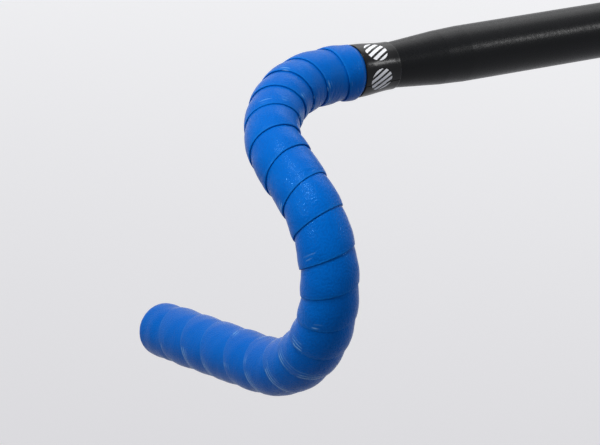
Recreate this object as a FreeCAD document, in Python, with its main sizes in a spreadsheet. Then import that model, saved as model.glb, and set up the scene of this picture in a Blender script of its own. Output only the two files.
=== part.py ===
import FreeCAD, Part
import os

import Sketcher

# A road drop handlebar with both grips wrapped: one butted tube and, on each side, a bar tape,
# a finishing tape over its end at the tops, and an expanding plug that holds its folded tail.
# Frame: origin at the middle of the stem clamp, +X to the rider's right, +Y forward, +Z up.

# Driving dimensions, in millimetres and degrees.
SIZES = {
    # handlebar tube
    "half_width": 220.0,  # clamp centre to the middle of a drop
    "clamp_radius": 15.9,  # 31.8 mm stem clamp
    "grip_radius": 11.9,  # 23.8 mm under the tape
    "clamp_wall": 2.2,
    "grip_wall": 1.6,
    "taper_length": 50.0,  # clamp size down to grip size
    "taper_ease": 8.0,  # half of the gentler stretch where the taper leaves the clamp size
    "slim_length": 31.0,  # slim straight part of the tops
    "corner_radius": 63.0,  # quarter turn from the tops to the ramp
    "ramp_angle": 20.0,  # the ramp's fall towards the front
    "ramp_length": 15.0,
    "hook_radius": 54.0,
    "hook_angle": 96.0,
    "heel_radius": 73.0,  # easier bend below the hook
    "heel_angle": 49.0,
    "drop_length": 107.0,  # straight end of the drop
    # bar tape
    "wrap_gap": 0.1,  # between layers wound on each other
    "tape_thickness": 3.5,  # two overlapped turns of soft tape
    "neck_start_thickness": 1.2,  # tape end squeezed under the finishing tape
    "neck_end_thickness": 2.2,
    "neck_length": 15.0,
    "lip_thickness": 1.8,  # tape folded over the end of the tube
    "lip_round": 5.0,
    "shoulder_length": 12.0,
    "tuck_thickness": 1.2,  # tail folded into the bore
    "tuck_length": 24.0,
    # finishing tape
    "strip_thickness": 0.9,  # three turns of vinyl strip
    "strip_overhang": 10.0,  # how far it runs onto the bare tube
    "edge_gap": 0.3,  # beside a cut edge of the tape
    # end plug: cap, split sleeve, washer
    "plug_fit": 0.08,  # sliding fit in the folded tail
    "cap_radius": 11.2,
    "cap_thickness": 2.8,
    "cap_round": 2.0,
    "spigot_depth": 5.4,
    "recess_depth": 7.5,  # for the washer and the screw's head
    "recess_gap": 0.4,
    "hole_gap": 0.3,
    "sleeve_length": 22.0,
    "collar_length": 3.0,
    "sleeve_lip": 1.6,  # wall at the sleeve's open end
    "slit_width": 1.8,
    "slit_length": 16.0,
    "slit_count": 4.0,
    "groove_count": 5.0,
    "groove_pitch": 3.0,
    "groove_width": 1.4,
    "groove_depth": 0.6,
    "washer_radius": 4.5,
    "washer_thickness": 0.8,
    "washer_fit": 0.08,
    # end plug: wedge nut and screw
    "wedge_length": 12.0,
    "wedge_rise": 2.2,  # growth in radius along the wedge
    "wedge_proud": 2.0,  # past the sleeve's open end when the plug is tight
    "wedge_fit": 0.08,
    "fin_gap": 0.1,  # each side of a fin in its slit
    "fin_length": 8.0,
    "fin_root": 3.6,
    "fin_inset": 0.45,  # below the outside of the sleeve
    "screw_radius": 2.5,  # M5
    "screw_length": 30.0,
    "thread_fit": 0.06,
    "head_radius": 4.25,
    "head_height": 5.0,
    "head_round": 0.5,
    "key_size": 4.0,
    "key_depth": 2.5,
}

# Sizes that follow from the driving ones, as expressions. Distances on the tops are from the
# middle of the clamp. Heights on the plug are outward from the end of the tube.
TOPS_END = "(Size.half_width - Size.corner_radius)"
SLIM_START = f"({TOPS_END} - Size.slim_length)"
CLAMP_HALF = f"({SLIM_START} - Size.taper_length)"
BORE = "(Size.grip_radius - Size.grip_wall)"
CLAMP_BORE = "(Size.clamp_radius - Size.clamp_wall)"
TAPER_SLOPE = "((Size.clamp_radius - Size.grip_radius) / Size.taper_length)"

TAPE_INSIDE = "(Size.grip_radius + Size.wrap_gap)"
TAPE_OUTSIDE = f"({TAPE_INSIDE} + Size.tape_thickness)"
NECK_START = f"({TAPE_INSIDE} + Size.neck_start_thickness)"
NECK_END = f"({TAPE_INSIDE} + Size.neck_end_thickness)"
WRAP_START = f"({SLIM_START} + Size.neck_length + Size.edge_gap)"
LIP_FACE = "(Size.wrap_gap + Size.lip_thickness)"
TUCK_OUTSIDE = f"({BORE} - Size.wrap_gap)"
TUCK_INSIDE = f"({TUCK_OUTSIDE} - Size.tuck_thickness)"

STRIP_START = f"({SLIM_START} - Size.strip_overhang)"
STRIP_OVER_TUBE = f"(Size.grip_radius + Size.strip_overhang * {TAPER_SLOPE} + Size.wrap_gap)"
STRIP_STEP = f"({SLIM_START} - Size.edge_gap)"
STRIP_AT_STEP = f"(Size.grip_radius + Size.edge_gap * {TAPER_SLOPE} + Size.wrap_gap)"

PLUG_RADIUS = f"({TUCK_INSIDE} - Size.plug_fit)"
CAP_TOP = f"({LIP_FACE} + Size.cap_thickness)"
SEAT = f"({CAP_TOP} - Size.recess_depth)"
RECESS_RADIUS = "(Size.washer_radius + Size.recess_gap)"
HEAD_UNDERSIDE = f"({SEAT} + Size.washer_thickness)"
SLEEVE_TOP = "(-Size.spigot_depth)"
SLEEVE_END = f"({SLEEVE_TOP} - Size.sleeve_length)"
WEDGE_END = f"({SLEEVE_END} - Size.wedge_proud)"
WEDGE_TOP = f"({WEDGE_END} + Size.wedge_length)"
WEDGE_SLOPE = "(Size.wedge_rise / Size.wedge_length)"
SLEEVE_MOUTH = f"({PLUG_RADIUS} - Size.sleeve_lip)"
WEDGE_WIDE = f"({SLEEVE_MOUTH} - Size.wedge_fit + Size.wedge_proud * {WEDGE_SLOPE})"
WEDGE_NARROW = f"({WEDGE_WIDE} - Size.wedge_rise)"
SLEEVE_BORE = f"({WEDGE_NARROW} + Size.wedge_fit)"
COLLAR_BORE = "(Size.screw_radius + Size.hole_gap)"

SIDES = {"right": 1, "left": -1}

doc = FreeCAD.newDocument("DropBar")
sheet = doc.addObject("Spreadsheet::Sheet", "Size")
for row, (alias, value) in enumerate(SIZES.items(), start=1):
    sheet.set(f"A{row}", alias)
    sheet.set(f"B{row}", str(value))
    sheet.setAlias(f"B{row}", alias)
doc.recompute()


# Helpers


def number(expression):
    """The value of an expression now, to draw a sketch near where its constraints put it."""
    value = sheet.evalExpression(str(expression))
    return float(getattr(value, "Value", value))


def frame(x="0", y="0", z="0", axis=(0, 0, 1), angle="0"):
    """The expression of a placement."""
    spin = f"create(<<vector>>; {axis[0]}; {axis[1]}; {axis[2]})"
    return (
        f"create(<<placement>>; create(<<vector>>; {x}; {y}; {z}); "
        f"create(<<rotation>>; {spin}; {angle}))"
    )


def bound(type_name, name, expressions):
    """A document object with its properties bound to expressions."""
    item = doc.addObject(type_name, name)
    for prop, expression in expressions.items():
        item.setExpression(prop, expression)
    return item


def joined(name, pieces):
    item = doc.addObject("Part::MultiFuse", name)
    item.Shapes = pieces
    item.Refine = True
    return item


def cut(name, base, tool):
    item = doc.addObject("Part::Cut", name)
    item.Base = base
    item.Tool = tool
    return item


def finished(item, label):
    """Names the object that is one sub-part."""
    item.Label = label
    SUBPARTS.append(item)
    return item


def origin_plane(body, role):
    return next(part for part in body.Origin.OriginFeatures if part.Role == role)


def outline(body, name, role, points, height=None):
    """A closed sketch of straight lines through points given as pairs of expressions."""
    sketch = body.newObject("Sketcher::SketchObject", name)
    sketch.AttachmentSupport = [(origin_plane(body, role), "")]
    sketch.MapMode = "FlatFace"
    if height is not None:
        sketch.setExpression("AttachmentOffset.Base.z", height)
    corners = [FreeCAD.Vector(number(x), number(y), 0) for x, y in points]
    count = len(corners)
    for index in range(count):
        sketch.addGeometry(Part.LineSegment(corners[index], corners[(index + 1) % count]))
    for index in range(count):
        sketch.addConstraint(Sketcher.Constraint("Coincident", index, 2, (index + 1) % count, 1))
    for index, (x, y) in enumerate(points):
        if x == "0":
            sketch.addConstraint(Sketcher.Constraint("PointOnObject", index, 1, -2))
        else:
            across = sketch.addConstraint(Sketcher.Constraint("DistanceX", index, 1, number(x)))
            sketch.renameConstraint(across, f"across_{index}")
            sketch.setExpression(f"Constraints.across_{index}", x)
        if y == "0":
            sketch.addConstraint(Sketcher.Constraint("PointOnObject", index, 1, -1))
        else:
            along = sketch.addConstraint(Sketcher.Constraint("DistanceY", index, 1, number(y)))
            sketch.renameConstraint(along, f"along_{index}")
            sketch.setExpression(f"Constraints.along_{index}", y)
    return sketch


def turned(name, points, place=None):
    """A body turned about its Z axis from (radius, height) points."""
    body = doc.addObject("PartDesign::Body", name)
    if place is not None:
        body.setExpression("Placement", place)
    sketch = outline(body, f"{name}_Profile", "XZ_Plane", points)
    revolution = body.newObject("PartDesign::Revolution", f"{name}_Turned")
    revolution.Profile = sketch
    revolution.ReferenceAxis = (sketch, ["V_Axis"])
    revolution.Angle = 360.0
    doc.recompute()
    return body


def rounded(body, rims, radius):
    """Rounds circular edges, found by their (radius, height) in the body's own frame."""
    base = body.Tip
    names = []
    for index, edge in enumerate(base.Shape.Edges, start=1):
        if not isinstance(edge.Curve, Part.Circle):
            continue
        for rim_radius, rim_height in rims:
            same_radius = abs(edge.Curve.Radius - number(rim_radius)) < 0.01
            same_height = abs(edge.Curve.Center.z - number(rim_height)) < 0.01
            if same_radius and same_height:
                names.append(f"Edge{index}")
    fillet = body.newObject("PartDesign::Fillet", f"{body.Name}_Rounded")
    fillet.Base = (base, names)
    fillet.setExpression("Radius", radius)
    doc.recompute()


def lengthwise(body, kind, name, points, height, length, up):
    """A pad or pocket along the body's axis, from a flat outline at a height."""
    sketch = outline(body, f"{name}_Outline", "XY_Plane", points, height)
    feature = body.newObject(f"PartDesign::{kind}", name)
    feature.Profile = sketch
    feature.setExpression("Length", length)
    # A pad grows along the sketch's normal, and a pocket cuts against it.
    feature.Reversed = up if kind == "Pocket" else not up
    doc.recompute()
    return feature, sketch


def around(body, feature, sketch, count):
    """Repeats a feature evenly around the body's axis."""
    pattern = body.newObject("PartDesign::PolarPattern", f"{feature.Name}_Around")
    pattern.Originals = [feature]
    pattern.Axis = (sketch, ["N_Axis"])
    pattern.Angle = 360.0
    pattern.setExpression("Occurrences", count)
    body.Tip = pattern
    doc.recompute()
    return pattern


# The bar's course, as stations along each side. A station's Z axis runs along the bar towards
# its end, and its X axis points away from the middle of the next bend.


def after_bend(radius, angle):
    """From the start of a bend to its end."""
    return frame(
        x=f"{radius} * (cos({angle}) - 1)",
        z=f"{radius} * sin({angle})",
        axis=(0, -1, 0),
        angle=angle,
    )


def stations(side):
    """Lays the stations of one side and returns their names."""
    hand = SIDES[side]
    legs = [
        ("axis", f"{frame(axis=(1, 0, 0), angle=f'{-90 * hand} - Size.ramp_angle')} * "
                 f"{frame(axis=(0, 1, 0), angle=90 * hand)}"),
        ("wrap", f"{side}_axis.Placement * {frame(z=WRAP_START)}"),
        ("corner", f"{side}_axis.Placement * {frame(z=TOPS_END)}"),
        ("ramp", f"{side}_corner.Placement * {after_bend('Size.corner_radius', '90')} * "
                 f"{frame(angle=-90 * hand)}"),
        ("hook", f"{side}_ramp.Placement * {frame(z='Size.ramp_length')}"),
        ("heel", f"{side}_hook.Placement * {after_bend('Size.hook_radius', 'Size.hook_angle')}"),
        ("drop", f"{side}_heel.Placement * {after_bend('Size.heel_radius', 'Size.heel_angle')}"),
        ("end", f"{side}_drop.Placement * {frame(z='Size.drop_length')}"),
    ]
    for name, place in legs:
        bound("App::Placement", f"{side}_{name}", {"Placement": place})


def straight(name, station, length, radius):
    sizes = {"Placement": f"{station}.Placement", "Height": length, "Radius": radius}
    return bound("Part::Cylinder", name, sizes)


def bend(name, station, bend_radius, angle, radius):
    place = f"{station}.Placement * {frame(x=f'-{bend_radius}', axis=(1, 0, 0), angle=90)}"
    sizes = {"Placement": place, "Radius1": bend_radius, "Radius2": radius, "Angle3": angle}
    return bound("Part::Torus", name, sizes)


def run(name, side, radius, drop_length, with_tops):
    """The bar's course from the corner to the drop, filled to a radius."""
    pieces = [
        bend(f"{name}_corner", f"{side}_corner", "Size.corner_radius", "90", radius),
        straight(f"{name}_ramp", f"{side}_ramp", "Size.ramp_length", radius),
        bend(f"{name}_hook", f"{side}_hook", "Size.hook_radius", "Size.hook_angle", radius),
        bend(f"{name}_heel", f"{side}_heel", "Size.heel_radius", "Size.heel_angle", radius),
        straight(f"{name}_drop", f"{side}_drop", drop_length, radius),
    ]
    if with_tops:
        tops_length = f"{TOPS_END} - {WRAP_START}"
        pieces.append(straight(f"{name}_tops", f"{side}_wrap", tops_length, radius))
    return joined(name, pieces)


def hollow_run(name, side, outside, inside, drop_length, with_tops=False):
    outer = run(f"{name}_outside", side, outside, drop_length, with_tops)
    inner = run(f"{name}_inside", side, inside, drop_length, with_tops)
    return cut(name, outer, inner)


# Sub-parts


def make_handlebar():
    """One tube: the straight tops with their clamp bulge, and a bent arm on each side."""
    half_wall = [
        ("Size.clamp_radius", "0"),
        ("Size.clamp_radius", f"{CLAMP_HALF} - Size.taper_ease"),
        (f"Size.clamp_radius - Size.taper_ease * {TAPER_SLOPE}", f"{CLAMP_HALF} + Size.taper_ease"),
        ("Size.grip_radius", SLIM_START),
        ("Size.grip_radius", TOPS_END),
        (BORE, TOPS_END),
        (BORE, SLIM_START),
        (CLAMP_BORE, CLAMP_HALF),
        (CLAMP_BORE, "0"),
    ]
    pieces = []
    for side in SIDES:
        pieces.append(turned(f"{side}_tops", half_wall, f"{side}_axis.Placement"))
        pieces.append(hollow_run(f"{side}_arm", side, "Size.grip_radius", BORE, "Size.drop_length"))
    finished(joined("handlebar_tube", pieces), "handlebar")


def make_bar_tape(side):
    """The wound tape: its neck under the finishing tape, its length, and its folded tail."""
    neck = turned(
        f"{side}_tape_neck",
        [
            (TAPE_INSIDE, SLIM_START),
            (NECK_START, SLIM_START),
            (NECK_END, WRAP_START),
            (TAPE_INSIDE, WRAP_START),
        ],
        f"{side}_axis.Placement",
    )
    wound = hollow_run(
        f"{side}_tape_wound",
        side,
        TAPE_OUTSIDE,
        TAPE_INSIDE,
        "Size.drop_length - Size.shoulder_length",
        with_tops=True,
    )
    tail = turned(
        f"{side}_tape_tail",
        [
            (TAPE_INSIDE, "-Size.shoulder_length"),
            (TAPE_OUTSIDE, "-Size.shoulder_length"),
            (TAPE_OUTSIDE, LIP_FACE),
            (TUCK_INSIDE, LIP_FACE),
            (TUCK_INSIDE, "-Size.tuck_length"),
            (TUCK_OUTSIDE, "-Size.tuck_length"),
            (TUCK_OUTSIDE, "Size.wrap_gap"),
            (TAPE_INSIDE, "Size.wrap_gap"),
        ],
        f"{side}_end.Placement",
    )
    rounded(tail, [(TAPE_OUTSIDE, LIP_FACE)], "Size.lip_round")
    finished(joined(f"{side}_tape", [neck, wound, tail]), f"{side}_bar_tape")


def make_finishing_tape(side):
    """Vinyl strip wound from the bare tube up over the squeezed end of the bar tape."""
    outward = "Size.strip_thickness"
    over_start = f"({NECK_START} + Size.wrap_gap)"
    over_end = f"({NECK_END} + Size.wrap_gap)"
    body = turned(
        f"{side}_strip",
        [
            (STRIP_OVER_TUBE, STRIP_START),
            (STRIP_AT_STEP, STRIP_STEP),
            (over_start, STRIP_STEP),
            (over_end, f"{WRAP_START} - Size.edge_gap"),
            (f"{over_end} + {outward}", f"{WRAP_START} - Size.edge_gap"),
            (f"{over_start} + {outward}", STRIP_STEP),
            (f"{STRIP_OVER_TUBE} + {outward}", STRIP_START),
        ],
        f"{side}_axis.Placement",
    )
    finished(body, f"{side}_finishing_tape")


def make_plug_cap(side):
    """Flanged cap that rests on the folded tape, with a recess for the screw's head."""
    body = turned(
        f"{side}_cap",
        [
            (RECESS_RADIUS, CAP_TOP),
            ("Size.cap_radius", CAP_TOP),
            ("Size.cap_radius", LIP_FACE),
            (PLUG_RADIUS, LIP_FACE),
            (PLUG_RADIUS, SLEEVE_TOP),
            (COLLAR_BORE, SLEEVE_TOP),
            (COLLAR_BORE, SEAT),
            (RECESS_RADIUS, SEAT),
        ],
        f"{side}_end.Placement",
    )
    rounded(body, [("Size.cap_radius", CAP_TOP)], "Size.cap_round")
    finished(body, f"{side}_plug_cap")


def make_plug_sleeve(side):
    """Split sleeve, ribbed outside and coned inside, that the wedge spreads in the bore."""
    body = turned(
        f"{side}_sleeve",
        [
            (PLUG_RADIUS, SLEEVE_TOP),
            (PLUG_RADIUS, SLEEVE_END),
            (SLEEVE_MOUTH, SLEEVE_END),
            (SLEEVE_BORE, WEDGE_TOP),
            (SLEEVE_BORE, f"{SLEEVE_TOP} - Size.collar_length"),
            (COLLAR_BORE, f"{SLEEVE_TOP} - Size.collar_length"),
            (COLLAR_BORE, SLEEVE_TOP),
        ],
        f"{side}_end.Placement",
    )
    first = f"({SLEEVE_END} + Size.groove_width)"
    ring = outline(
        body,
        f"{side}_groove_profile",
        "XZ_Plane",
        [
            (f"{PLUG_RADIUS} - Size.groove_depth", first),
            (f"{PLUG_RADIUS} + 1", first),
            (f"{PLUG_RADIUS} + 1", f"{first} + Size.groove_width"),
            (f"{PLUG_RADIUS} - Size.groove_depth", f"{first} + Size.groove_width"),
        ],
    )
    groove = body.newObject("PartDesign::Groove", f"{side}_groove")
    groove.Profile = ring
    groove.ReferenceAxis = (ring, ["V_Axis"])
    groove.Angle = 360.0
    doc.recompute()
    rows = body.newObject("PartDesign::LinearPattern", f"{side}_grooves")
    rows.Originals = [groove]
    rows.Direction = (ring, ["V_Axis"])
    rows.setExpression("Length", "Size.groove_pitch * (Size.groove_count - 1)")
    rows.setExpression("Occurrences", "Size.groove_count")
    body.Tip = rows
    doc.recompute()
    slit, sketch = lengthwise(
        body,
        "Pocket",
        f"{side}_slit",
        [
            ("0", "-Size.slit_width / 2"),
            (f"{PLUG_RADIUS} + 1", "-Size.slit_width / 2"),
            (f"{PLUG_RADIUS} + 1", "Size.slit_width / 2"),
            ("0", "Size.slit_width / 2"),
        ],
        SLEEVE_END,
        "Size.slit_length",
        up=True,
    )
    around(body, slit, sketch, "Size.slit_count")
    finished(body, f"{side}_plug_sleeve")


def make_plug_washer(side):
    inside = "Size.screw_radius + Size.washer_fit"
    body = turned(
        f"{side}_washer",
        [
            (inside, SEAT),
            ("Size.washer_radius", SEAT),
            ("Size.washer_radius", HEAD_UNDERSIDE),
            (inside, HEAD_UNDERSIDE),
        ],
        f"{side}_end.Placement",
    )
    finished(body, f"{side}_plug_washer")


def make_plug_wedge(side):
    """Coned nut on the screw, with a fin in each slit of the sleeve to keep it from turning."""
    inside = "Size.screw_radius + Size.thread_fit"
    body = turned(
        f"{side}_wedge",
        [
            (inside, WEDGE_TOP),
            (WEDGE_NARROW, WEDGE_TOP),
            (WEDGE_WIDE, WEDGE_END),
            (inside, WEDGE_END),
        ],
        f"{side}_end.Placement",
    )
    half_fin = "(Size.slit_width / 2 - Size.fin_gap)"
    fin_tip = f"{PLUG_RADIUS} - Size.fin_inset"
    fin, sketch = lengthwise(
        body,
        "Pad",
        f"{side}_fin",
        [
            ("Size.fin_root", f"-{half_fin}"),
            (fin_tip, f"-{half_fin}"),
            (fin_tip, half_fin),
            ("Size.fin_root", half_fin),
        ],
        WEDGE_END,
        "Size.fin_length",
        up=True,
    )
    around(body, fin, sketch, "Size.slit_count")
    finished(body, f"{side}_plug_wedge")


def make_plug_screw(side):
    """Cap screw whose head bears on the washer, with a hexagon socket for the key."""
    head_top = f"({HEAD_UNDERSIDE} + Size.head_height)"
    tip = f"({HEAD_UNDERSIDE} - Size.screw_length)"
    body = turned(
        f"{side}_screw",
        [
            ("0", head_top),
            ("Size.head_radius", head_top),
            ("Size.head_radius", HEAD_UNDERSIDE),
            ("Size.screw_radius", HEAD_UNDERSIDE),
            ("Size.screw_radius", tip),
            ("0", tip),
        ],
        f"{side}_end.Placement",
    )
    rounded(body, [("Size.head_radius", head_top), ("Size.screw_radius", tip)], "Size.head_round")
    corner = "Size.key_size / sqrt(3)"
    hexagon = [(f"{corner} * cos({60 * k + 30})", f"{corner} * sin({60 * k + 30})") for k in range(6)]
    lengthwise(body, "Pocket", f"{side}_socket", hexagon, head_top, "Size.key_depth", up=False)
    finished(body, f"{side}_plug_screw")


SUBPARTS = []
for side_name in SIDES:
    stations(side_name)
doc.recompute()

make_handlebar()
for side_name in SIDES:
    make_bar_tape(side_name)
    make_finishing_tape(side_name)
    make_plug_cap(side_name)
    make_plug_sleeve(side_name)
    make_plug_washer(side_name)
    make_plug_wedge(side_name)
    make_plug_screw(side_name)
doc.recompute()

for item in doc.Objects:
    if {"Invalid", "Error"} & set(item.State):
        raise RuntimeError(f"{item.Name} did not compute: {item.State}")
for subpart in SUBPARTS:
    if subpart.Shape.isNull() or not subpart.Shape.isValid():
        raise RuntimeError(f"{subpart.Label} has no valid shape")
    if len(subpart.Shape.Solids) != 1:
        raise RuntimeError(f"{subpart.Label} is not one solid")

os.makedirs("parts", exist_ok=True)
for subpart in SUBPARTS:
    subpart.Shape.exportStep(f"parts/{subpart.Label}.step")
    print(subpart.Label, round(subpart.Shape.Volume, 1))
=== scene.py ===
import math

import bpy
import numpy as np
from mathutils import Matrix, Vector


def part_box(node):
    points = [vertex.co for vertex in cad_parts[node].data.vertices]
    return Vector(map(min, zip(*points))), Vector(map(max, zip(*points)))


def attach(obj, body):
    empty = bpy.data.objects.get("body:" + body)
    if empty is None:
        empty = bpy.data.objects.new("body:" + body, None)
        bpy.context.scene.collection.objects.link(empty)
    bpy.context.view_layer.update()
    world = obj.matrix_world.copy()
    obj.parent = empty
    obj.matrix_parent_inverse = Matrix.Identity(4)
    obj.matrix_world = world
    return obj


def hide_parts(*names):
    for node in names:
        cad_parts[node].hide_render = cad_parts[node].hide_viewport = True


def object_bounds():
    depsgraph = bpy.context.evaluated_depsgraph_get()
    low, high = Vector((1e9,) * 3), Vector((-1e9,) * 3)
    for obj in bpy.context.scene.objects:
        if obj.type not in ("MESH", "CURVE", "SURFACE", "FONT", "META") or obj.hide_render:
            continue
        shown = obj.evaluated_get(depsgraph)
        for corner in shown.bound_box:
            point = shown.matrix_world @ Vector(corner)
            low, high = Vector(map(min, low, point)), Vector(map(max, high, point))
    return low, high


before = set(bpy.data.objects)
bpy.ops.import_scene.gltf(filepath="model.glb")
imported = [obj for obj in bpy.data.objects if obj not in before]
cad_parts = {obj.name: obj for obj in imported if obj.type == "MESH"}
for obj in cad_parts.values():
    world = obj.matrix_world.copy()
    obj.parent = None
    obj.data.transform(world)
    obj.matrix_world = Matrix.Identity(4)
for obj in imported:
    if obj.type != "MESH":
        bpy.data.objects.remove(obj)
cad_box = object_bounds()

# A wrapped road drop handlebar. Lengths are in millimetres until a mesh is made.
MM = 0.001
SIDES = {"right": 1, "left": -1}

# The tube's course on one side, from the clamp's middle to its open end
CORNER_RADIUS = 63.0
RAMP_FALL = math.radians(20.0)
RAMP_LENGTH = 15.0
HOOK_RADIUS = 54.0
HOOK_TURN = math.radians(96.0)
HEEL_RADIUS = 73.0
HEEL_TURN = math.radians(49.0)
DROP_LENGTH = 107.0

TAPE_RADIUS = 15.5  # of the bar with its tape wound on

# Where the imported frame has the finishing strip, and how wide it makes the bar
STRIP_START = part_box("right_finishing_tape")[0].x / MM
STRIP_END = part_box("right_finishing_tape")[1].x / MM
HALF_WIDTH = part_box("right_bar_tape")[1].x / MM - TAPE_RADIUS
TOPS_LENGTH = HALF_WIDTH - CORNER_RADIUS


# The bar's course


def bar_course(step=0.5):
    """Stations along the right side: distance, centre, heading, upward direction and bend."""
    forward = np.array([0.0, math.cos(RAMP_FALL), -math.sin(RAMP_FALL)])
    down = np.array([0.0, -math.sin(RAMP_FALL), -math.cos(RAMP_FALL)])
    legs = [
        (TOPS_LENGTH, None, None),
        (CORNER_RADIUS * math.pi / 2, CORNER_RADIUS, forward),
        (RAMP_LENGTH, None, None),
        (HOOK_RADIUS * HOOK_TURN, HOOK_RADIUS, down),
        (HEEL_RADIUS * HEEL_TURN, HEEL_RADIUS, None),
        (DROP_LENGTH, None, None),
    ]
    start, here, heading, inward = 0.0, np.zeros(3), np.array([1.0, 0.0, 0.0]), down
    rows = []
    for length, radius, turn_toward in legs:
        inward = inward if turn_toward is None else turn_toward
        for distance in np.append(np.arange(0.0, length, step), length):
            if radius is None:
                rows.append((start + distance, here + heading * distance, heading, inward * 0.0))
            else:
                turn = distance / radius
                to_middle = inward * math.cos(turn) - heading * math.sin(turn)
                along = heading * math.cos(turn) + inward * math.sin(turn)
                place = here + radius * (inward - to_middle)
                rows.append((start + distance, place, along, to_middle / radius))
        start += length
        here, heading = rows[-1][1], rows[-1][2]
        if radius is not None:
            inward = rows[-1][3] * radius
    distances, centres, headings, bends = (np.array(column) for column in zip(*rows))
    ups = np.zeros_like(centres)
    up = np.array([0.0, 0.0, 1.0])
    for index, heading in enumerate(headings):
        up = up - (up @ heading) * heading
        up = up / np.linalg.norm(up)
        ups[index] = up
    return {
        "distance": distances,
        "centre": centres,
        "heading": headings,
        "bend": bends,
        "up": ups,
        "side": np.cross(headings, ups),
    }


BAR = bar_course()
BAR_END = BAR["distance"][-1]


def along_bar(what, distance):
    """One of the bar's vectors, at distances from the clamp's middle."""
    axes = [np.interp(distance, BAR["distance"], BAR[what][:, axis]) for axis in range(3)]
    return np.stack(axes, axis=-1)


def outward(distance, angle):
    """The direction away from the bar's middle, at an angle from its top."""
    up = np.cos(angle)[..., None] * along_bar("up", distance)
    return up + np.sin(angle)[..., None] * along_bar("side", distance)


def around_bar(distance, angle, radius):
    """Points round the bar. Past its end they go straight on."""
    beyond = np.maximum(distance - BAR_END, 0.0)[..., None] * BAR["heading"][-1]
    return along_bar("centre", distance) + beyond + radius[..., None] * outward(distance, angle)


def gathering(distance, angle):
    """How far the tape is gathered on the inside of a bend. It is negative where it stretches."""
    return (along_bar("bend", distance) * outward(distance, angle)).sum(axis=-1) * TAPE_RADIUS


def eased(low, high, value):
    """0 below low, 1 above high, and a smooth step between them."""
    share = np.clip((value - low) / (high - low), 0.0, 1.0)
    return share * share * (3 - 2 * share)


def hump(value, middle, spread):
    """A smooth hump, 1 at its middle."""
    return np.exp(-(((value - middle) / spread) ** 2))


def slow_waves(rng, height, waves):
    """A smooth uneven function of two numbers, made of a few waves of the given lengths."""
    terms = [
        (rng.normal(0.0, height), 2 * math.pi / first, 2 * math.pi / second, rng.uniform(0, 6.28))
        for first, second in waves
    ]
    return lambda a, b: sum(h * np.sin(a * p + b * q + shift) for h, p, q, shift in terms)


# Mesh pieces


def mesh_piece(name, side, points, faces, body="bar"):
    """A smooth mesh piece that rides on a body. The left side is the right one mirrored."""
    points = np.asarray(points, float).reshape(-1, 3) * MM
    if SIDES[side] < 0:
        points = points * [-1.0, 1.0, 1.0]
        faces = [tuple(reversed(face)) for face in faces]
    mesh = bpy.data.meshes.new(name)
    mesh.from_pydata(points.tolist(), [], faces)
    mesh.shade_smooth()
    piece = bpy.data.objects.new(name, mesh)
    bpy.context.scene.collection.objects.link(piece)
    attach(piece, body)
    return piece


def sheet_faces(rows, columns, closed=False):
    """Quads between the rows of a grid of points. A closed grid joins each row's ends."""
    faces = []
    for row in range(rows - 1):
        for column in range(columns if closed else columns - 1):
            beside = (column + 1) % columns
            low, high = row * columns, (row + 1) * columns
            faces.append((low + column, low + beside, high + beside, high + column))
    return faces


def flat_map(piece, around, across):
    """Lays the piece's surface out flat for its materials, in millimetres."""
    layer = piece.data.uv_layers.new(name="Flat")
    corners = np.zeros(len(piece.data.loops), int)
    piece.data.loops.foreach_get("vertex_index", corners)
    flat = np.stack([np.ravel(around)[corners], np.ravel(across)[corners]], axis=-1)
    layer.data.foreach_set("uv", flat.ravel().astype(np.float32))


def surface_values(piece, name, values):
    """Stores a number at each point of the piece, for its material to read."""
    attribute = piece.data.attributes.new(name, "FLOAT", "POINT")
    attribute.data.foreach_set("value", np.ravel(values).astype(np.float32))


# Bar tape: one padded strip wound from the end of the drop up to the tops, so that each turn
# lies over the one below it and its lower edge shows. Turns are counted from the tops down, and
# the last one is where the winding began.

# How far each turn climbs. They close up round the corner.
TURN_ADVANCE = [17, 19, 15, 14, 15, 17, 17, 21, 17, 19, 17, 16, 16, 17, 18, 22, 20, 24, 20, 23, 23]
EDGE_STATIONS = STRIP_END + np.concatenate([[0.0], np.cumsum(TURN_ADVANCE)])
EDGE_PHASE = 0.29  # the angle from the bar's top where turns are counted from, in radians
FIRST_TURN = -0.3
LAST_TURN = 20.86
TAIL = 0.25  # the part of the last turn over which the strip thins out
TAIL_DIP = 0.2  # how far its tip is pressed in
POINTS_A_TURN = 80

# The strip's section
EDGE_BEAD = 0.45  # radius of its rounded edge
LOWER_TURN = 14.75  # radius of the tape where the next edge lands on it
CROWN = 0.45  # how much the padding swells between its edges
OVERLAP = 3.5  # how far the strip runs on under the next turn
TUCKED = 0.5  # how far a covered part of the strip is pressed in
UNDERCUT = 2.2  # how far its underside is followed back from the edge
PRESSED_RADIUS = 13.6  # of the tape where the finishing strip presses it flat
PALE_EDGE_AT, PALE_EDGE_WIDTH = 0.3, 0.55  # the line along an edge that is painted paler: partly where hands wear it by rubbing, partly a painted highlight on the seam

# How evenly it was wound
LUMPS = 0.055  # height of its lumps and hollows
EDGE_STRAY = 0.16  # how far its edge strays from an even climb
TURN_LAY = 0.09  # how far one turn stands above another
PUCKER_DEPTH = 0.22
PUCKER_SPACING = 4.6

# Along the bar, where the strip is pulled tight, swells and lies loose round the corner
TIGHT_AT, SWOLLEN_AT, LOOSE_AT = 226, 238, 254

# Along the bar, where the fine pale lines under the drop begin and where they are full: partly
# stretch marks in the skin, partly painted glints on its wrinkles
STRAIN_STARTS, STRAIN_FULL = BAR_END - 190, BAR_END - 150

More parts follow.
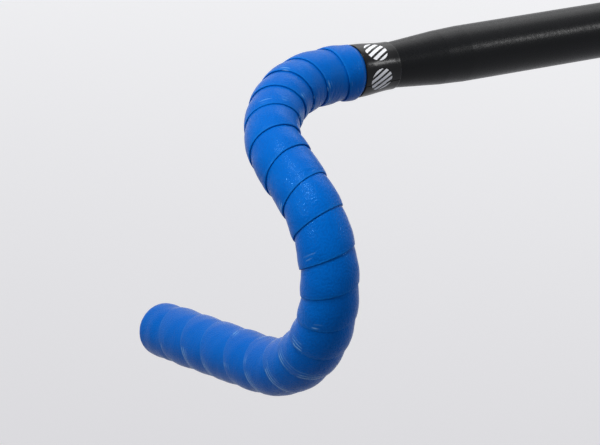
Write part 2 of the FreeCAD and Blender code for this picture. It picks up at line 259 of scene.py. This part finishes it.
# The end of the drop, where the strip folds in under the plug
END_FOLD = 2.1  # how far the tape stands past the end of the tube
END_ROUND = 4.6  # radius of the fold
END_SWELL = 0.85  # how much the doubled tape swells
END_CURL = 130  # how far round the fold goes, in degrees
END_LUMPS = 0.07  # height of its lumps and hollows
FOLDED_DEPTHS = [[6.0], [20.0]]  # how deep in the tube the folded strip is followed
FOLDED_RADII = [[9.2], [9.1]]  # and its radius there
PLEATS = 15
PLEAT_DEPTH, PLEAT_SPREAD = 0.55, 0.06  # in millimetres, and in radians round the bar


def edge_distance(turns):
    """Distance of the strip's lower edge along the bar, after a number of turns."""
    climb = np.gradient(EDGE_STATIONS)
    index = np.clip(np.floor(turns).astype(int), 0, len(TURN_ADVANCE) - 1)
    t = turns - index
    low, high = EDGE_STATIONS[index], EDGE_STATIONS[index + 1]
    return (
        low * (2 * t**3 - 3 * t**2 + 1)
        + high * (3 * t**2 - 2 * t**3)
        + climb[index] * (t**3 - 2 * t**2 + t)
        + climb[index + 1] * (t**3 - t**2)
    )


def fold_drop(distance):
    """How much the tape's surface has turned in towards the hole, near the end of the bar."""
    into = np.clip(distance - (BAR_END + END_FOLD - END_ROUND), 0.0, END_ROUND * 0.98)
    return END_ROUND - np.sqrt(END_ROUND**2 - into**2)


def squeezed(distance, radius):
    """The tape is thinned and pressed flat where the finishing strip is wound over it."""
    free = eased(STRIP_END - 1.2, STRIP_END + 2.6, distance)
    return PRESSED_RADIUS + (radius - PRESSED_RADIUS) * (0.12 + 0.88 * free)


def corner_lay(distance, angle):
    """How the strip lies round the corner: pulled tight inside it, and loose just after it."""
    outside = outward(distance, angle)[..., 0]
    tight = 1.5 * hump(distance, TIGHT_AT, 12)
    loose = 1.3 * hump(distance, LOOSE_AT, 13)
    swollen = 0.5 * hump(distance, SWOLLEN_AT, 13)
    return np.maximum(-outside, 0.0) * (loose - tight) + np.maximum(outside, 0.0) ** 2 * swollen


def puckers(distance, angle, gathered):
    """Folds across the strip where it is gathered on the inside of a bend."""
    pinched = eased(0.17, 0.28, gathered)
    wander = 0.35 * np.sin(distance / 7.1 + 2 * angle)
    folds = distance / PUCKER_SPACING + wander + 0.2 * np.sin(3 * angle)
    return -PUCKER_DEPTH * pinched * np.abs(np.sin(math.pi * folds)) ** 6


def strain_and_glint(distance, angle, gathered):
    """Where the fine pale lines go, which are partly stretch marks and partly painted glints on
    wrinkles: under the drop, and where the strip is gathered.
    """
    under = eased(-0.3, 0.1, -outward(distance, angle)[..., 2])
    under_drop = under * eased(STRAIN_STARTS, STRAIN_FULL, distance)
    return np.maximum(under_drop, eased(0.17, 0.24, gathered))


def wound_tape(side, seed):
    """The strip's turns, with rounded edges, padding that swells and a slightly uneven lay."""
    rng = np.random.default_rng(seed)
    lumps = slow_waves(rng, LUMPS, [(31, 3.1), (17, 2.1), (11, 6.3), (8, 1.6)])
    turns = np.arange(FIRST_TURN, LAST_TURN, 1 / POINTS_A_TURN)
    strays = slow_waves(rng, EDGE_STRAY, [(2.7, 9), (1.3, 9), (0.71, 9), (0.43, 9)])
    edge = edge_distance(turns) + strays(turns, 0.0) * eased(0.2, 1.2, turns)

    # Each turn is as wide as the way to the next. The first runs on under the finishing strip.
    width = edge - edge_distance(turns - 1)
    width = np.where(turns < 1, np.maximum(edge - STRIP_END + 6, 4), width)
    stations = len(EDGE_STATIONS) + 1
    lay = np.interp(turns, np.arange(stations), rng.normal(0.0, TURN_LAY, stations))

    # Across the strip: its underside, the rounded edge, the padded face, then the covered part
    bead = np.radians(np.linspace(-75, 90, 9))
    bead_back = EDGE_BEAD * (1 - np.cos(bead))
    bead_rise = EDGE_BEAD * (1 + np.sin(bead))
    face = np.linspace(0.04, 1.0, 24)
    back = np.concatenate(
        [
            np.full((len(turns), 1), UNDERCUT),
            np.tile(bead_back, (len(turns), 1)),
            EDGE_BEAD + face * (width[:, None] - EDGE_BEAD),
            width[:, None] + OVERLAP,
        ],
        axis=1,
    )
    top = 2 * EDGE_BEAD
    padded = top * (1 - face**1.5) + CROWN * np.sin(math.pi * face**0.8)
    rise = np.concatenate([[-TUCKED], bead_rise, padded, [-TUCKED]])

    distance = edge[:, None] - back
    angle = (EDGE_PHASE + 2 * math.pi * turns)[:, None] + 0.0 * back
    gathered = gathering(distance, angle)
    radius = LOWER_TURN + rise * (1 + 0.35 * gathered) + 0.5 * gathered
    radius = radius + lay[:, None] * eased(-TUCKED, top, rise) + lumps(distance, angle)
    radius = radius + puckers(distance, angle, gathered)
    radius = radius + corner_lay(distance, angle) - fold_drop(distance)
    thinned = eased(LAST_TURN - TAIL, LAST_TURN, turns)[:, None]
    radius = squeezed(distance, radius) - thinned * (np.maximum(rise, 0.0) + TAIL_DIP)
    points = around_bar(distance, angle, radius)

    piece = mesh_piece(f"{side}_wound_tape", side, points, sheet_faces(*distance.shape))
    flat_map(piece, angle * TAPE_RADIUS, back)
    # The edge mask: partly worn by rubbing, partly a painted highlight on the seam's rounded edge
    surface_values(piece, "edge", hump(back, PALE_EDGE_AT, PALE_EDGE_WIDTH) * (rise > 0.25))
    surface_values(piece, "gathered", gathered)
    surface_values(piece, "strain_and_glint", strain_and_glint(distance, angle, gathered))
    return piece


def folded_end(side, seed):
    """The start of the strip: it covers the end of the tube and folds in under the plug."""
    rng = np.random.default_rng(seed)
    lumps = slow_waves(rng, END_LUMPS, [(23, 2.1), (11, 3.1), (7, 1.6)])
    angle = np.linspace(0, 2 * math.pi, 160, endpoint=False)
    turn = ((angle - EDGE_PHASE) / (2 * math.pi) - LAST_TURN) % 1 + LAST_TURN - 1
    last_edge = edge_distance(turn)
    fold_at = BAR_END + END_FOLD - END_ROUND

    # Along the outside from under the last turn, round the fold, then down inside the tube
    share = np.linspace(0, 1, 20)[:-1, None]
    covered = np.minimum(last_edge - 6, fold_at - 4)
    along = covered + share * (fold_at - covered)
    level = np.zeros_like(angle)
    curl = np.radians(np.linspace(0, END_CURL, 18))[:, None] + level
    swell = END_SWELL * eased(0, 11, fold_at - 0.5 * END_ROUND - last_edge)
    outside = LOWER_TURN - 0.1 + swell * eased(0, 10, along - last_edge)
    middle = LOWER_TURN - 0.1 + swell - END_ROUND
    folded = BAR_END - np.array(FOLDED_DEPTHS) + level
    distance = np.concatenate([along, fold_at + END_ROUND * np.sin(curl), folded])
    folded = np.array(FOLDED_RADII) + level
    radius = np.concatenate([outside, middle + END_ROUND * np.cos(curl), folded])
    inward = np.concatenate([0.0 * along, eased(0.25, 1.3, curl), level + [[0.6], [0.3]]])

    # Where the strip folds in it has too much width, so it pleats
    folds = np.sort(rng.uniform(0, 2 * math.pi, PLEATS))
    apart = np.abs((angle[:, None] - folds + math.pi) % (2 * math.pi) - math.pi)
    pleat = 0.18 * np.sin(9 * angle) - PLEAT_DEPTH * hump(apart, 0.0, PLEAT_SPREAD).sum(axis=1)
    lift = inward * pleat
    angles = angle + 0.0 * distance
    radius = radius + 0.5 * lift + (1 - inward) * lumps(distance, angles)
    points = around_bar(distance + 0.7 * inward * lift, angles, radius)
    faces = sheet_faces(*distance.shape, closed=True)
    piece = mesh_piece(f"{side}_folded_end", side, points, faces)
    flat_map(piece, angles * TAPE_RADIUS, distance)
    surface_values(piece, "edge", np.zeros_like(distance))
    surface_values(piece, "gathered", 0.25 * inward)
    surface_values(piece, "strain_and_glint", np.zeros_like(distance))
    return piece


# Finishing strip: thin vinyl wound over the start of the tape

STRIP_TURNS = 3.35
STRIP_LAYERS = 3
STRIP_LAYER = 0.26  # rise from one layer to the next
STRIP_RADIUS = 12.75  # of its inside where it is wound on the tube
STRIP_STEP = 1.45  # how much further out it lies on the tape
STRIP_ANGLE = 0.36  # where its inner end lies, in turns from the bar's top
STRIP_STRAY = 0.11  # how far its edges stray


def finishing_strip(side, seed):
    """Three turns of vinyl, stretched over the step from the tube to the tape."""
    rng = np.random.default_rng(seed)
    turned = np.linspace(0.0, STRIP_TURNS, int(STRIP_TURNS * 96))
    strays = slow_waves(rng, STRIP_STRAY, [(1.9, 9), (0.9, 9), (0.47, 9)])
    low = STRIP_START + 0.35 + strays(turned, 0.0)
    high = STRIP_END - 0.30 + strays(turned, 4.0)

    # Across the strip, with both of its edges turned down onto the layer below
    share = np.concatenate([[0.03, 0.0, 0.004], np.linspace(0.02, 0.98, 22), [0.996, 1.0, 0.97]])
    height = np.concatenate([[-1.0, -0.5, -0.1], np.zeros(22), [-0.1, -0.5, -1.0]])
    distance = low[:, None] + (high - low)[:, None] * share
    angle = 2 * math.pi * (turned[:, None] + STRIP_ANGLE) + 0.0 * distance
    under = STRIP_RADIUS + STRIP_STEP * eased(STRIP_START + 2, STRIP_END - 2, distance)
    layers = turned[:, None] / STRIP_TURNS * STRIP_LAYERS + height
    radius = under + STRIP_LAYER * layers
    points = around_bar(distance, angle, radius)
    piece = mesh_piece(f"{side}_wound_strip", side, points, sheet_faces(*distance.shape))
    flat_map(piece, angle * TAPE_RADIUS, distance - STRIP_START)
    return piece


# Materials

WAVE_PERIOD = 2 / 6.28  # how far apart a wave texture's lines lie at a scale of 1


def linear_colour(code):
    """An sRGB hex colour as the linear colour that shaders use."""
    parts = [int(code[i : i + 2], 16) / 255 for i in (1, 3, 5)]
    return (*(p / 12.92 if p <= 0.04045 else ((p + 0.055) / 1.055) ** 2.4 for p in parts), 1.0)


def add(tree, kind, inputs=None, **settings):
    """Adds a node with its settings. Each input is a value, or another node's output to link."""
    new = tree.nodes.new(kind)
    for name, value in settings.items():
        setattr(new, name, value)
    for socket, value in (inputs or {}).items():
        if isinstance(value, bpy.types.NodeSocket):
            tree.links.new(value, new.inputs[socket])
        else:
            new.inputs[socket].default_value = value
    return new


def start_material(name):
    """A material with an empty node tree and its output."""
    material = bpy.data.materials.new(name)
    material.use_nodes = True
    material.node_tree.nodes.clear()
    return material, material.node_tree


def finish_material(tree, **inputs):
    """Puts the surface shader with these inputs on the material."""
    named = {socket.replace("_", " "): value for socket, value in inputs.items()}
    shader = add(tree, "ShaderNodeBsdfPrincipled", named)
    add(tree, "ShaderNodeOutputMaterial", {"Surface": shader.outputs["BSDF"]})


def embossed_foam_tape():
    """Foamed tape with a soft skin embossed with a fine leather grain. The eye gets a deep even
    blue, small glints on the grain in the light, painted shade in the grain's pits, a paler line
    along an edge that is partly worn by rubbing and partly a painted highlight, and fine pale
    lines that are partly stretch marks and partly painted glints."""
    material, tree = start_material("embossed_foam_tape")
    flat = add(tree, "ShaderNodeUVMap", uv_map="Flat").outputs["UV"]
    edge = add(tree, "ShaderNodeAttribute", attribute_name="edge").outputs["Fac"]
    gathered = add(tree, "ShaderNodeAttribute", attribute_name="gathered").outputs["Fac"]

    # The leather grain's pebbles, the skin's pores, and a slow unevenness
    pebble_width, pore_width, patch_width = 1.1, 0.4, 25
    pebbles = add(
        tree,
        "ShaderNodeTexVoronoi",
        {"Vector": flat, "Scale": 1 / pebble_width, "Smoothness": 0.3, "Randomness": 1.0},
        feature="SMOOTH_F1",
        voronoi_dimensions="2D",
    ).outputs["Distance"]
    pores = add(
        tree, "ShaderNodeTexNoise", {"Vector": flat, "Scale": 1 / pore_width, "Detail": 2.0}
    ).outputs["Fac"]
    unevenness = add(
        tree, "ShaderNodeTexNoise", {"Vector": flat, "Scale": 1 / patch_width, "Detail": 3.0}
    ).outputs["Fac"]

    pebble_height = add(
        tree,
        "ShaderNodeMapRange",
        {"Value": pebbles, "From Min": 0.0, "From Max": 0.75, "To Min": 1.0, "To Max": 0.0},
        interpolation_type="SMOOTHSTEP",
    ).outputs["Result"]
    grain_bump = add(
        tree, "ShaderNodeBump", {"Height": pebble_height, "Strength": 1.0, "Distance": 0.00008}
    ).outputs["Normal"]
    pore_bump = add(
        tree,
        "ShaderNodeBump",
        {"Height": pores, "Strength": 0.4, "Distance": 0.00002, "Normal": grain_bump},
    ).outputs["Normal"]

    # Creases where the strip is gathered on the inside of a bend
    crease_spacing = 1.6
    crease_lines = add(
        tree,
        "ShaderNodeTexWave",
        {"Vector": flat, "Scale": WAVE_PERIOD / crease_spacing, "Distortion": 3.0, "Detail": 1.0},
        bands_direction="Y",
        wave_profile="SIN",
    ).outputs["Fac"]
    creased = add(
        tree,
        "ShaderNodeMapRange",
        {"Value": gathered, "From Min": 0.19, "From Max": 0.28, "To Min": 0.0, "To Max": 1.0},
    ).outputs["Result"]
    crease_depth = add(
        tree, "ShaderNodeMath", {0: crease_lines, 1: creased}, operation="MULTIPLY"
    ).outputs["Value"]
    normal = add(
        tree,
        "ShaderNodeBump",
        {"Height": crease_depth, "Strength": 0.6, "Distance": 0.0002, "Normal": pore_bump},
    ).outputs["Normal"]

    # Dyed blue, a little unevenly, with painted shade darkening the grain's pits, and paler along
    # an edge, partly worn by rubbing and partly a painted highlight on the seam
    colour = add(
        tree,
        "ShaderNodeMix",
        {"Factor": unevenness, "A": linear_colour("#005EBE"), "B": linear_colour("#0068C6")},
        data_type="RGBA",
    ).outputs["Result"]
    # Painted shade: the grain's pits are darkened where shade would fall in them
    painted_pit_shade = add(
        tree,
        "ShaderNodeMapRange",
        {"Value": pebble_height, "From Min": 0.0, "From Max": 0.4, "To Min": 0.2, "To Max": 0.0},
    ).outputs["Result"]
    colour = add(
        tree,
        "ShaderNodeMix",
        {"Factor": painted_pit_shade, "A": colour, "B": linear_colour("#003A86")},
        data_type="RGBA",
    ).outputs["Result"]
    # Paler along the edge: partly worn by rubbing, partly a painted highlight on the seam
    rubbed_and_highlit = add(
        tree, "ShaderNodeMath", {0: edge, 1: unevenness}, operation="MULTIPLY"
    ).outputs["Value"]
    colour = add(
        tree,
        "ShaderNodeMix",
        {"Factor": rubbed_and_highlit, "A": colour, "B": linear_colour("#1472C8")},
        data_type="RGBA",
    ).outputs["Result"]

    # Here and there fine pale lines beside the edge, most of all where the mask marks strain:
    # partly the skin whitened where the strip was stretched, partly painted glints on its wrinkles
    line_spacing, stretch_width = 2.0, 13
    across = add(tree, "ShaderNodeSeparateXYZ", {"Vector": flat}).outputs["Y"]
    beside_edge = add(
        tree,
        "ShaderNodeMapRange",
        {"Value": across, "From Min": 1.0, "From Max": 7.0, "To Min": 1.0, "To Max": 0.0},
    ).outputs["Result"]
    stretched = add(
        tree, "ShaderNodeTexNoise", {"Vector": flat, "Scale": 1 / stretch_width, "Detail": 1.0}
    ).outputs["Fac"]
    strain_and_glint = add(tree, "ShaderNodeAttribute", attribute_name="strain_and_glint").outputs["Fac"]
    stretched = add(
        tree, "ShaderNodeMath", {0: strain_and_glint, 1: 0.19, 2: stretched}, operation="MULTIPLY_ADD"
    ).outputs["Value"]
    stretched = add(
        tree,
        "ShaderNodeMapRange",
        {"Value": stretched, "From Min": 0.6, "From Max": 0.72},
        interpolation_type="SMOOTHSTEP",
    ).outputs["Result"]
    fine_lines = add(
        tree,
        "ShaderNodeTexWave",
        {"Vector": flat, "Scale": WAVE_PERIOD / line_spacing, "Distortion": 2.0, "Detail": 1.0},
        bands_direction="Y",
        wave_profile="SAW",
    ).outputs["Fac"]
    fine_lines = add(
        tree,
        "ShaderNodeMapRange",
        {"Value": fine_lines, "From Min": 0.5, "From Max": 0.9},
        interpolation_type="SMOOTHSTEP",
    ).outputs["Result"]
    # Fine pale lines: partly stretch marks, partly painted glints on wrinkles
    stretch_marks_and_glints = add(
        tree, "ShaderNodeMath", {0: beside_edge, 1: stretched}, operation="MULTIPLY"
    ).outputs["Value"]
    stretch_marks_and_glints = add(
        tree, "ShaderNodeMath", {0: stretch_marks_and_glints, 1: fine_lines}, operation="MULTIPLY"
    ).outputs["Value"]
    colour = add(
        tree,
        "ShaderNodeMix",
        {"Factor": stretch_marks_and_glints, "A": colour, "B": linear_colour("#86C2F0")},
        data_type="RGBA",
    ).outputs["Result"]

    # The tops of the pebbles are burnished, while the skin between them and the edges are dull
    burnished = add(
        tree,
        "ShaderNodeMapRange",
        {"Value": pebble_height, "From Min": 0.4, "From Max": 0.75},
        interpolation_type="SMOOTHSTEP",
    ).outputs["Result"]
    roughness = add(
        tree, "ShaderNodeMapRange", {"Value": burnished, "To Min": 0.42, "To Max": 0.1}
    ).outputs["Result"]
    dulled = add(tree, "ShaderNodeMath", {0: edge, 1: 0.6}, operation="MULTIPLY").outputs["Value"]
    roughness = add(
        tree, "ShaderNodeMath", {0: roughness, 1: dulled}, operation="MAXIMUM"
    ).outputs["Value"]
    finish_material(
        tree,
        Base_Color=colour,
        Roughness=roughness,
        IOR=1.49,
        Specular_IOR_Level=0.17,
        Specular_Tint=linear_colour("#70C4FF"),
        Normal=normal,
    )
    return material


def anodised_aluminium():
    """Bead-blasted aluminium, anodised black. The eye gets a near black tube with a broad soft
    grey gleam that the blasting breaks up a little."""
    material, tree = start_material("black_anodised_aluminium")
    place = add(tree, "ShaderNodeTexCoord").outputs["Object"]

    # Blasting pits are about 0.1 mm wide, too fine to show, so they are drawn 1.2 mm wide
    pit_width, ripple_width = 1.2, 9
    blasting = add(
        tree, "ShaderNodeTexNoise", {"Vector": place, "Scale": 1 / (pit_width * MM), "Detail": 2.0}
    ).outputs["Fac"]
    ripples = add(
        tree,
        "ShaderNodeTexNoise",
        {"Vector": place, "Scale": 1 / (ripple_width * MM), "Detail": 1.0},
    ).outputs["Fac"]
    fine = add(
        tree, "ShaderNodeBump", {"Height": blasting, "Strength": 0.35, "Distance": 0.00006}
    ).outputs["Normal"]
    normal = add(
        tree,
        "ShaderNodeBump",
        {"Height": ripples, "Strength": 0.3, "Distance": 0.0002, "Normal": fine},
    ).outputs["Normal"]
    colour = add(
        tree,
        "ShaderNodeMix",
        {"Factor": ripples, "A": linear_colour("#06080B"), "B": linear_colour("#0A0C0F")},
        data_type="RGBA",
    ).outputs["Result"]
    roughness = add(
        tree,
        "ShaderNodeMapRange",
        {"Value": blasting, "From Min": 0.3, "From Max": 0.7, "To Min": 0.24, "To Max": 0.36},
    ).outputs["Result"]
    finish_material(
        tree,
        Base_Color=colour,
        Roughness=roughness,
        IOR=1.5,
        Specular_IOR_Level=0.22,
        Normal=normal,
    )
    return material


def printed_vinyl():
    """Glossy black vinyl strip, printed all round with white discs of slanted bars. The eye gets
    a clear gleam across it, pulled slightly wavy where it was stretched."""
    material, tree = start_material("printed_vinyl")
    flat = add(tree, "ShaderNodeUVMap", uv_map="Flat").outputs["UV"]
    apart = add(tree, "ShaderNodeSeparateXYZ", {"Vector": flat})
    spacing = 2 * math.pi * TAPE_RADIUS / 5
    disc_radius, disc_round, disc_along = 7.2, -6.0, 14.0

    # How far a point lies from the middle of its disc, round the bar and along it
    around = add(
        tree, "ShaderNodeMath", {0: apart.outputs["X"], 1: disc_round}, operation="SUBTRACT"
    ).outputs["Value"]
    beside = add(
        tree, "ShaderNodeMath", {0: around, 1: spacing / 2}, operation="PINGPONG"
    ).outputs["Value"]
    above = add(
        tree, "ShaderNodeMath", {0: apart.outputs["Y"], 1: disc_along}, operation="SUBTRACT"
    ).outputs["Value"]
    offset = add(tree, "ShaderNodeCombineXYZ", {"X": beside, "Y": above}).outputs["Vector"]
    away = add(tree, "ShaderNodeVectorMath", {0: offset}, operation="LENGTH").outputs["Value"]
    in_disc = add(
        tree, "ShaderNodeMath", {0: away, 1: disc_radius}, operation="LESS_THAN"
    ).outputs["Value"]

    # Bars 2 mm wide, across the disc at a slant
    half_pitch, half_bar, slant = spacing / 10, spacing / 17, 0.6
    slanted = add(
        tree, "ShaderNodeMath", {0: above, 1: slant, 2: around}, operation="MULTIPLY_ADD"
    ).outputs["Value"]
    rows = add(
        tree, "ShaderNodeMath", {0: slanted, 1: half_pitch}, operation="PINGPONG"
    ).outputs["Value"]
    on_bar = add(
        tree, "ShaderNodeMath", {0: rows, 1: half_bar}, operation="LESS_THAN"
    ).outputs["Value"]
    printed = add(
        tree, "ShaderNodeMath", {0: on_bar, 1: in_disc}, operation="MULTIPLY"
    ).outputs["Value"]
    colour = add(
        tree,
        "ShaderNodeMix",
        {"Factor": printed, "A": linear_colour("#08090A"), "B": linear_colour("#F6F7FA")},
        data_type="RGBA",
    ).outputs["Result"]

    # Slow waves where the vinyl was stretched
    wave_width = 5
    stretch = add(
        tree, "ShaderNodeTexNoise", {"Vector": flat, "Scale": 1 / wave_width, "Detail": 1.0}
    ).outputs["Fac"]
    normal = add(
        tree, "ShaderNodeBump", {"Height": stretch, "Strength": 0.4, "Distance": 0.0003}
    ).outputs["Normal"]
    finish_material(
        tree,
        Base_Color=colour,
        Roughness=0.22,
        IOR=1.52,
        Specular_IOR_Level=0.3,
        Normal=normal,
    )
    return material


def speckled(name, first, second, grain, depth, roughness, metallic=0.0, ior=1.5):
    """A solid stuff with a surface grain, its colour slightly mottled. The grain's width and
    depth are in millimetres, and coarser than the real ones, which are too fine to show."""
    material, tree = start_material(name)
    place = add(tree, "ShaderNodeTexCoord").outputs["Object"]
    speckle = add(
        tree, "ShaderNodeTexNoise", {"Vector": place, "Scale": 1 / (grain * MM), "Detail": 3.0}
    ).outputs["Fac"]
    colour = add(
        tree,
        "ShaderNodeMix",
        {"Factor": speckle, "A": linear_colour(first), "B": linear_colour(second)},
        data_type="RGBA",
    ).outputs["Result"]
    normal = add(
        tree, "ShaderNodeBump", {"Height": speckle, "Strength": 0.5, "Distance": depth * MM}
    ).outputs["Normal"]
    gloss = add(
        tree,
        "ShaderNodeMapRange",
        {"Value": speckle, "To Min": roughness - 0.06, "To Max": roughness + 0.06},
    ).outputs["Result"]
    finish_material(
        tree, Base_Color=colour, Roughness=gloss, Metallic=metallic, IOR=ior, Normal=normal
    )
    return material


def moulded_nylon():
    """Black moulded nylon with a spark-eroded grain: dull, with a soft grey bloom."""
    return speckled(
        "moulded_nylon", "#17181A", "#202124", grain=0.5, depth=0.04, roughness=0.5, ior=1.53
    )


def moulded_rubber():
    """Dark natural rubber: flat and dusty."""
    return speckled(
        "moulded_rubber", "#1E1E1F", "#2B2B2B", grain=0.7, depth=0.03, roughness=0.75, ior=1.52
    )


def black_oxide_steel():
    """Oil-blackened steel of the screw: dark metal with a bluish gleam."""
    return speckled(
        "black_oxide_steel",
        "#33363B",
        "#3F4248",
        grain=0.4,
        depth=0.01,
        roughness=0.34,
        metallic=1.0,
    )


def zinc_plated_steel():
    """Zinc plate on the washer: bright, slightly cloudy metal."""
    return speckled(
        "zinc_plated_steel",
        "#B9BDC2",
        "#C9CBCC",
        grain=1.5,
        depth=0.01,
        roughness=0.28,
        metallic=1.0,
    )


def coat(piece, material):
    """Gives a mesh piece its one material."""
    piece.data.materials.clear()
    piece.data.materials.append(material)


# The whole bar

foam = embossed_foam_tape()
vinyl = printed_vinyl()
plug_finishes = {
    "cap": moulded_nylon(),
    "sleeve": moulded_rubber(),
    "wedge": moulded_rubber(),
    "screw": black_oxide_steel(),
    "washer": zinc_plated_steel(),
}

for piece_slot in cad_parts["handlebar"].material_slots:
    piece_slot.material = anodised_aluminium()

for number, side in enumerate(SIDES):
    tape = wound_tape(side, seed=11 + number)
    fold = folded_end(side, seed=21 + number)
    strip = finishing_strip(side, seed=31 + number)
    coat(tape, foam)
    coat(fold, foam)
    coat(strip, vinyl)
    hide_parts(f"{side}_bar_tape")
    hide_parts(f"{side}_finishing_tape")
    for part, finish in plug_finishes.items():
        for piece_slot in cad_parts[f"{side}_plug_{part}"].material_slots:
            piece_slot.material = finish


# Studio, in metres

# The view: from ahead of the bar, to its right and above, tilted a little
LOOK_AT = Vector((171.6, 9.1, -83.3)) * MM
VIEW_AZIMUTH = math.radians(143.73)
VIEW_ELEVATION = math.radians(25.07)
VIEW_TILT = math.radians(6.28)
VIEW_DISTANCE = 1.864
VIEW_LENS, VIEW_SENSOR = 200.7, 36  # focal length and sensor width, in millimetres

FLOOR_BELOW = 1.9  # under the lowest point of the bar, which hangs from its clamp
FLOOR_HALF = 12.0

# The window side of the room lies behind the bar, in this direction. What is seen of the floor and
# the room is palest there and dims towards the other side; on the floor this is a painted glow
# that stands in for the window's light.
WINDOW_SIDE = (-0.59, -0.81, 0.0)
FLOOR_PAINTED_LIGHT = [(0.0, "#A4A4A8"), (0.32, "#ABABAE"), (0.66, "#C2C1C3"), (1.0, "#DCDCDD")]
ROOM_SHADES = [(0.0, "#B8B9BC"), (0.32, "#BDBDC0"), (0.66, "#D0CFD2"), (1.0, "#E6E6E8")]

# How far towards the window the shades begin and end: along the floor, and for a direction
FLOOR_REACH = (-1.5, 5.6)
ROOM_REACH = (-0.125, 0.467)


def looked_at(tree):
    """1 for what is seen, straight, through glass or in a gleam, and 0 for what it lights."""
    rays = add(tree, "ShaderNodeLightPath").outputs
    direct = add(
        tree,
        "ShaderNodeMath",
        {0: rays["Is Camera Ray"], 1: rays["Is Transmission Ray"]},
        operation="MAXIMUM",
    ).outputs["Value"]
    return add(
        tree, "ShaderNodeMath", {0: direct, 1: rays["Is Glossy Ray"]}, operation="MAXIMUM"
    ).outputs["Value"]


def towards_window(tree, place, reach, shades):
    """The shade of a place or direction, by how far it lies towards the window side."""
    along = add(
        tree, "ShaderNodeVectorMath", {0: place, 1: WINDOW_SIDE}, operation="DOT_PRODUCT"
    ).outputs["Value"]
    share = add(
        tree, "ShaderNodeMapRange", {"Value": along, "From Min": reach[0], "From Max": reach[1]}
    ).outputs["Result"]
    ramp = add(tree, "ShaderNodeValToRGB", {"Fac": share})
    stops = ramp.color_ramp.elements
    while len(stops) < len(shades):
        stops.new(0.5)
    for stop, (position, code) in zip(stops, shades):
        stop.position = position
        stop.color = linear_colour(code)
    return ramp.outputs["Color"]


def pale_floor():
    """A wide pale sheet, far enough below that the bar's soft shadow falls out of sight. What the
    eye sees of it is a painted glow: painted light, palest behind the bar towards the window,
    dimming towards the dark side of the room, ahead of the bar."""
    mesh = bpy.data.meshes.new("floor")
    corners = [(-1, -1), (1, -1), (1, 1), (-1, 1)]
    points = [(x * FLOOR_HALF, y * FLOOR_HALF, 0) for x, y in corners]
    mesh.from_pydata(points, [], [(0, 1, 2, 3)])
    floor = bpy.data.objects.new("floor", mesh)
    floor.location.z = cad_box[0][2] - FLOOR_BELOW
    bpy.context.scene.collection.objects.link(floor)
    material, tree = start_material("pale_paper")
    place = add(tree, "ShaderNodeTexCoord").outputs["Object"]
    finish_material(
        tree,
        Base_Color=linear_colour("#B4B4B6"),
        Roughness=0.9,
        # Painted light: the glow seen on the floor is palest towards the window side and dims
        # ahead of the bar
        Emission_Color=towards_window(tree, place, FLOOR_REACH, FLOOR_PAINTED_LIGHT),
        Emission_Strength=looked_at(tree),
    )
    mesh.materials.append(material)


def soft_lamp(name, direction, distance, size, power):
    """A square lamp that faces the bar from a direction."""
    lamp = bpy.data.lights.new(name, "AREA")
    lamp.size = size
    lamp.energy = power
    holder = bpy.data.objects.new(name, lamp)
    toward = Vector(direction).normalized()
    holder.location = LOOK_AT + toward * distance
    holder.rotation_euler = toward.to_track_quat("Z", "Y").to_euler()
    bpy.context.scene.collection.objects.link(holder)


def plain_room(light):
    """Even light from all round. What is seen of the room is pale behind the bar, where the
    window is, and dim ahead of it."""
    world = bpy.data.worlds.new("room")
    world.use_nodes = True
    tree = world.node_tree
    tree.nodes.clear()
    toward = add(tree, "ShaderNodeTexCoord").outputs["Generated"]
    shade = towards_window(tree, toward, ROOM_REACH, ROOM_SHADES)
    lit = add(tree, "ShaderNodeBackground", {"Color": linear_colour("#F2F4FA"), "Strength": light})
    shown = add(tree, "ShaderNodeBackground", {"Color": shade, "Strength": 1.0})
    either = {0: looked_at(tree), 1: lit.outputs[0], 2: shown.outputs[0]}
    mixed = add(tree, "ShaderNodeMixShader", either)
    add(tree, "ShaderNodeOutputWorld", {"Surface": mixed.outputs[0]})
    bpy.context.scene.world = world


def place_camera():
    """Aims the camera at the taped side of the bar."""
    flat = math.cos(VIEW_ELEVATION)
    back = Vector(
        (math.sin(VIEW_AZIMUTH) * flat, -math.cos(VIEW_AZIMUTH) * flat, math.sin(VIEW_ELEVATION))
    )
    level = Vector((0, 0, 1)).cross(back).normalized()
    upright = back.cross(level)
    right = level * math.cos(VIEW_TILT) + upright * math.sin(VIEW_TILT)
    up = upright * math.cos(VIEW_TILT) - level * math.sin(VIEW_TILT)
    lens = bpy.data.cameras.new("camera")
    lens.sensor_width = VIEW_SENSOR
    lens.lens = VIEW_LENS
    camera = bpy.data.objects.new("camera", lens)
    turn = Matrix((right, up, back)).transposed().to_4x4()
    camera.matrix_world = Matrix.Translation(LOOK_AT + back * VIEW_DISTANCE) @ turn
    bpy.context.scene.collection.objects.link(camera)
    bpy.context.scene.camera = camera


place_camera()
pale_floor()
plain_room(light=0.37)
soft_lamp("overhead_box", (0.32, -0.02, 0.94), distance=0.8, size=0.3, power=3.8)
soft_lamp("right_box", (0.85, -0.06, 0.5), distance=1.1, size=0.11, power=3.3)
soft_lamp("left_box", (-0.68, 0.48, 0.56), distance=1.1, size=0.15, power=0.9)
soft_lamp("rear_box", (-0.58, -0.5, 0.64), distance=1.1, size=0.6, power=1.0)
bpy.context.scene.view_settings.view_transform = "Standard"
